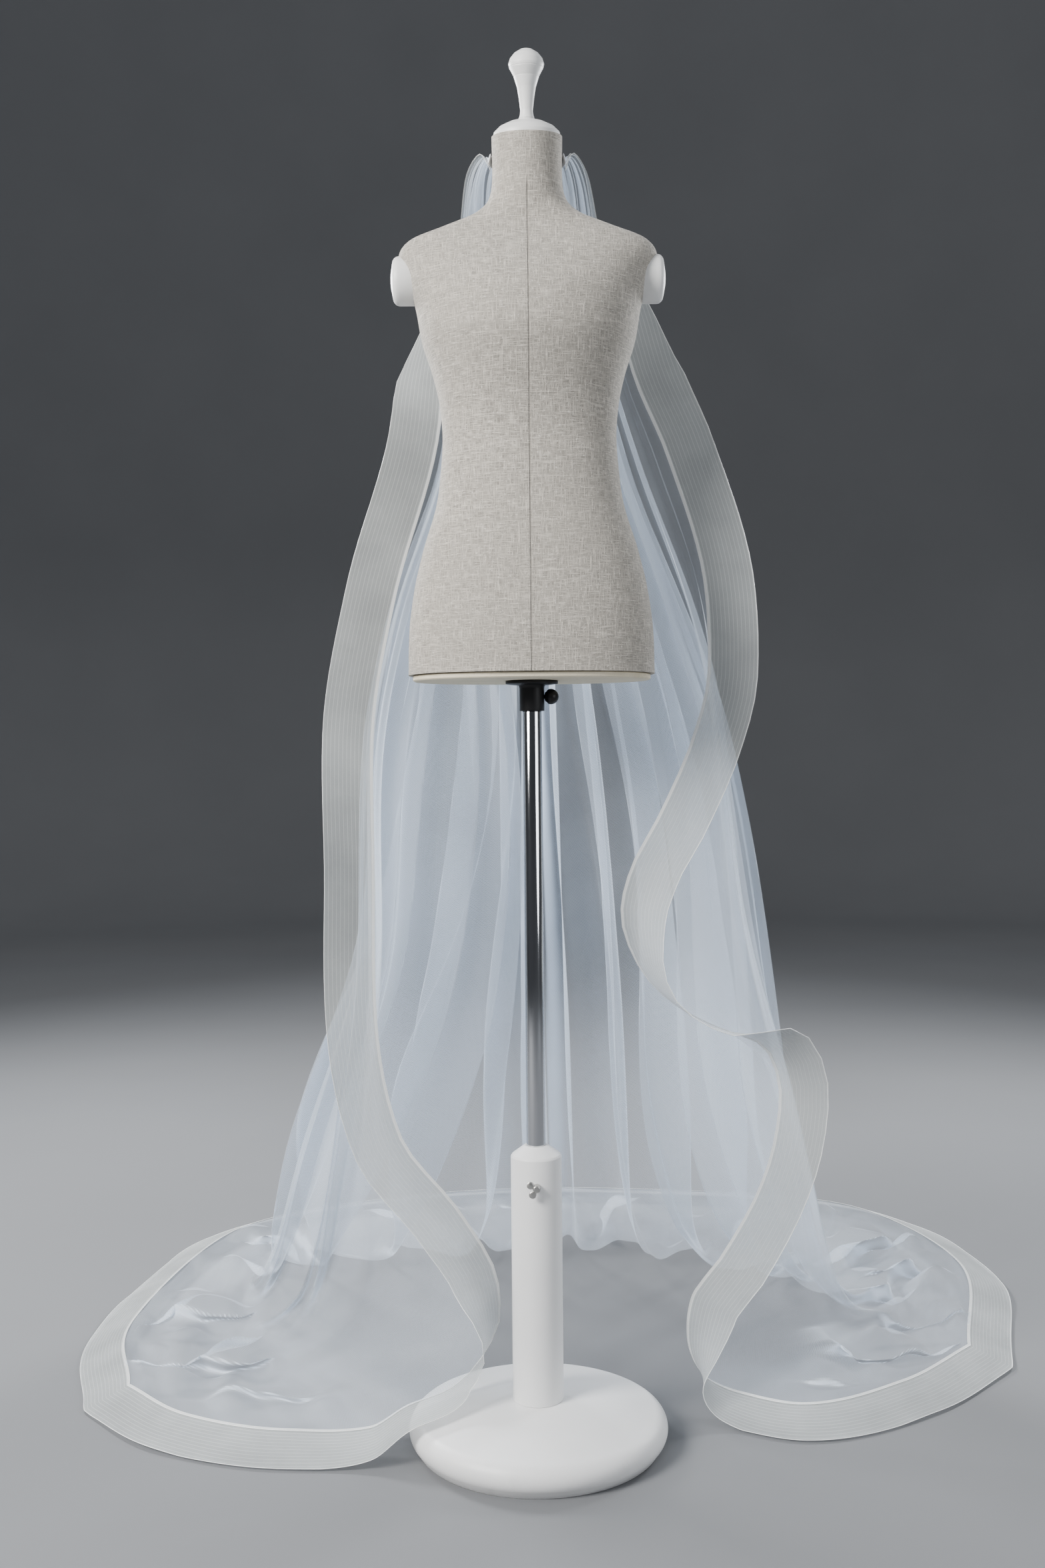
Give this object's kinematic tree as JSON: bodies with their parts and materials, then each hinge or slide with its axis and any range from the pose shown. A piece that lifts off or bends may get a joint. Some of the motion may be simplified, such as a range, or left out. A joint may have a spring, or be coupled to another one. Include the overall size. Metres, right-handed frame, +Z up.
{
  "type": "bridal veil on a dress form",
  "caption": "Long sheer bridal veil edged with wide braid, gathered at the nape of a limbless linen dress form on a round-based stand and pooled on the floor.",
  "frame": {"origin": "on the floor, on the stand's axis, at the middle of the base's underside", "axes": "+Z up; the front of the form faces -Y and the veil's train runs towards +Y; +X is the viewer's right from the front"},
  "size_m": [1.6015, 1.4288, 1.9476],
  "materials": {
    "tulle": "sheer fine hexagonal net, soft",
    "braid": "stiff sheer horsehair braid with a wiry edge",
    "linen": "greige slubby linen, matte",
    "board": "cream painted board",
    "white_paint": "satin white",
    "white_plastic": "satin white",
    "chrome": "polished",
    "zinc": "zinc plated",
    "black_plastic": "moulded, satin"
  },
  "bodies": {
    "root": {"tulle_left_fall": "tulle", "tulle_back_fall": "tulle", "tulle_right_fall": "tulle", "tulle_left_train": "tulle", "tulle_back_train": "tulle", "tulle_right_train": "tulle", "braid_left_edge": "braid", "braid_right_edge": "braid", "braid_left_hem": "braid", "braid_back_hem": "braid", "braid_right_hem": "braid", "gather_band": "tulle", "form_body": "linen", "form_base_board": "board", "neck_cap": "white_plastic", "finial": "white_plastic", "arm_cap_left": "white_plastic", "arm_cap_right": "white_plastic", "clamp_collar": "black_plastic", "pole": "chrome", "stand_column": "white_paint", "stand_base": "white_paint"},
    "wing_screw": {"wing_screw": "zinc"},
    "clamp_knob": {"clamp_knob": "black_plastic"}
  },
  "joints": [
    {"name": "wing_screw_turn", "type": "hinge", "parent": "root", "child": "wing_screw", "pos_m": [0, -0.0364, 0.372], "axis": [0, -1, 0], "continuous": true},
    {"name": "clamp_knob_turn", "type": "hinge", "parent": "root", "child": "clamp_knob", "pos_m": [0.0175, 0, 1.056], "axis": [1, 0, 0], "continuous": true}
  ]
}
